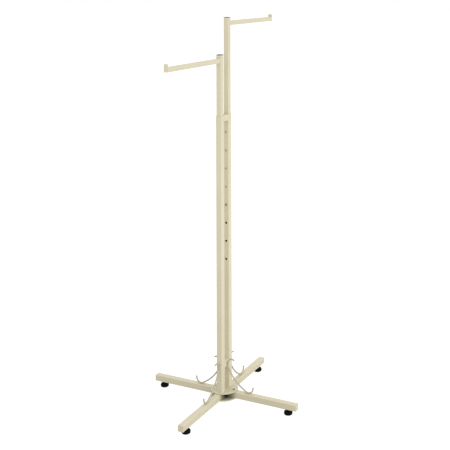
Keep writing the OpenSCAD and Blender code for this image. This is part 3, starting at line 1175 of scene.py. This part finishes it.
def button_leaf(side):
    """A strip of spring steel bent to a U, with one leg behind the button."""
    node = f"{side}_button_spring"
    near, far = extent(node, side)
    low, top = leaf_heights(side)
    half_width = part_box(node)[1].x
    middle = (near + far) / 2
    radius = (far - near - LEAF_T) / 2
    drop = top - low
    # the strip's stations as (distance from the middle, height, angle it is turned to)
    stations = []
    for step in range(LEAF_STEPS + 1):
        stations.append((-radius, top - drop * step / LEAF_STEPS, -math.pi))
    for step in range(1, LEAF_STEPS):
        angle = math.pi * (step / LEAF_STEPS - 1)
        stations.append((radius * math.cos(angle), low + radius * math.sin(angle), angle))
    for step in range(LEAF_STEPS + 1):
        stations.append((radius, low + drop * step / LEAF_STEPS, 0))
    outline = rounded_rectangle(2 * half_width, LEAF_T, LEAF_EDGE)
    rings = []
    for across, height, angle in stations:
        spot = move(0, middle + across, height) @ Matrix.Rotation(angle, 4, "X")
        rings.append([spot @ point for point in outline])
    bm = loft(rings)
    bmesh.ops.recalc_face_normals(bm, faces=bm.faces)
    return mirrored(bm, side)


for side in SIDES:
    moving = f"{side}_upright_with_arm"
    piece(f"{side}_upright_tube", upright(side), moving, slid_paint, f"{side}_upright")
    piece(f"{side}_upright_top_plug", upright_plug(side), moving, plug_plastic,
          f"{side}_upright_plug")
    piece(f"{side}_arm_tube", arm(side), moving, paint, f"{side}_arm")
    piece(f"{side}_arm_stop_plate", arm_end(side), moving, paint, f"{side}_arm_end")
    piece(f"{side}_lock_button", button(side), f"{side}_snap_button", zinc, f"{side}_button")
    leaf = skin(f"{side}_button_leaf", button_leaf(side), spring, [f"{side}_button_spring"])
    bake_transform(leaf)


# Studio

# The floor's light goes from the first strength at the first distance to the second
FLOOR_RADIUS, FLOOR_SIDES = 40, 96
FLOOR_DISTANCE, FLOOR_LIGHT = (0.3, 2.0), (0.27, 0.66)
FLOOR_SEEN, FLOOR_GREY = 0.9, 0.3

# Strength of the surroundings from left to right, and its factor from level to straight up
LIGHT_LEFT_TO_RIGHT, LIGHT_LEVEL_TO_TOP = (0.68, 1.07), (0.9, 1.16)
WHITE = (1, 1, 1, 1)

LAMP_SIZE = (1.8, 1.2)
LAMP_SPREAD = 50
LAMP_ENERGY = 2.5
LAMP_PLACE, LAMP_TARGET = Vector((3.5, -0.4, 0.4)), Vector((0, 0, 0.2))

PLACE = Vector((1.8414, -3.1765, 1.7742))
AIM = Vector((-0.4126, 0.9104, -0.0303))
LENS, SENSOR = 70.7, 36
SHIFT = {"shift_x": -0.1929, "shift_y": -0.4933}
STATION_REACH = 0.01


def aimed(direction):
    """The turn that points a lamp or a camera in a direction."""
    return direction.to_track_quat("-Z", "Y")


def to_camera(tree, light, seen):
    """One strength for the light that falls on things and another for what the camera sees."""
    ray = add(tree, "LightPath").outputs["Is Camera Ray"]
    return add(tree, "Mix", {0: ray, 2: light, 3: seen}, data_type="FLOAT").outputs[0]


def studio_floor():
    """A pale floor. It is bright to the camera, gives less light near the rack than far away,
    and can be looked through from below."""
    bm = bmesh.new()
    bmesh.ops.create_circle(bm, cap_ends=True, radius=FLOOR_RADIUS, segments=FLOOR_SIDES)
    mesh = bpy.data.meshes.new("floor")
    bm.to_mesh(mesh)
    bm.free()
    material = bpy.data.materials.new("pale_floor")
    material.use_nodes = True
    tree = material.node_tree
    tree.nodes.remove(tree.nodes["Principled BSDF"])
    geometry = add(tree, "NewGeometry")
    distance = add(tree, "VectorMath", {0: geometry.outputs["Position"]}, operation="LENGTH")
    light = spread(tree, distance.outputs["Value"], *FLOOR_DISTANCE, *FLOOR_LIGHT)
    strength = to_camera(tree, light, FLOOR_SEEN)
    glow = add(tree, "Emission", {"Color": WHITE, "Strength": strength})
    matt = add(tree, "BsdfDiffuse", {"Color": (FLOOR_GREY, FLOOR_GREY, FLOOR_GREY, 1)})
    both = add(tree, "AddShader", {0: glow.outputs[0], 1: matt.outputs[0]})
    clear = add(tree, "BsdfTransparent")
    from_below = geometry.outputs["Backfacing"]
    final = add(tree, "MixShader", {0: from_below, 1: both.outputs[0], 2: clear.outputs[0]})
    tree.links.new(final.outputs[0], tree.nodes["Material Output"].inputs["Surface"])
    mesh.materials.append(material)
    floor = bpy.data.objects.new("floor", mesh)
    bpy.context.scene.collection.objects.link(floor)


def studio_light():
    """White surroundings, brighter above and to the right, and one large weak lamp."""
    world = bpy.data.worlds.new("studio")
    world.use_nodes = True
    tree = world.node_tree
    direction = add(tree, "TexCoord").outputs["Generated"]
    parts = add(tree, "SeparateXYZ", {"Vector": direction})
    from_right = spread(tree, parts.outputs["X"], -1, 1, *LIGHT_LEFT_TO_RIGHT)
    from_above = spread(tree, parts.outputs["Z"], 0, 1, *LIGHT_LEVEL_TO_TOP)
    light = maths(tree, "MULTIPLY", from_right, from_above)
    background = tree.nodes["Background"]
    tree.links.new(to_camera(tree, light, 1.0), background.inputs["Strength"])
    background.inputs["Color"].default_value = WHITE
    bpy.context.scene.world = world

    lamp = bpy.data.lights.new("soft_lamp", "AREA")
    lamp.shape = "RECTANGLE"
    lamp.size, lamp.size_y = LAMP_SIZE
    lamp.spread = math.radians(LAMP_SPREAD)
    lamp.energy = LAMP_ENERGY
    spot = bpy.data.objects.new("soft_lamp", lamp)
    spot.location = LAMP_PLACE
    spot.rotation_mode = "QUATERNION"
    spot.rotation_quaternion = aimed(LAMP_TARGET - LAMP_PLACE)
    bpy.context.scene.collection.objects.link(spot)


def studio_camera():
    """A long level lens, shifted so that upright edges stay parallel. The shift holds only
    while the camera is at its own place, so that other views are centred."""
    data = bpy.data.cameras.new("camera")
    data.lens = LENS
    data.sensor_width = SENSOR
    data.clip_end = 4 * FLOOR_RADIUS
    camera = bpy.data.objects.new("camera", data)
    camera.location = PLACE
    camera.rotation_mode = "QUATERNION"
    camera.rotation_quaternion = aimed(AIM)
    station = bpy.data.objects.new("camera_station", None)
    station.location = PLACE
    for made in (camera, station):
        bpy.context.scene.collection.objects.link(made)
    for path, value in SHIFT.items():
        setattr(data, path, value)
        curve = data.driver_add(path)
        curve.driver.type = "AVERAGE"
        away = curve.driver.variables.new()
        away.name = "away"
        away.type = "LOC_DIFF"
        away.targets[0].id = camera
        away.targets[1].id = station
        line = curve.modifiers[0]
        line.coefficients = (value, -value / STATION_REACH)
        end = curve.modifiers.new("LIMITS")
        end.use_max_y = True
        end.max_y = 0
    bpy.context.scene.camera = camera


studio_floor()
studio_light()
studio_camera()
bpy.context.scene.view_settings.view_transform = "Standard"
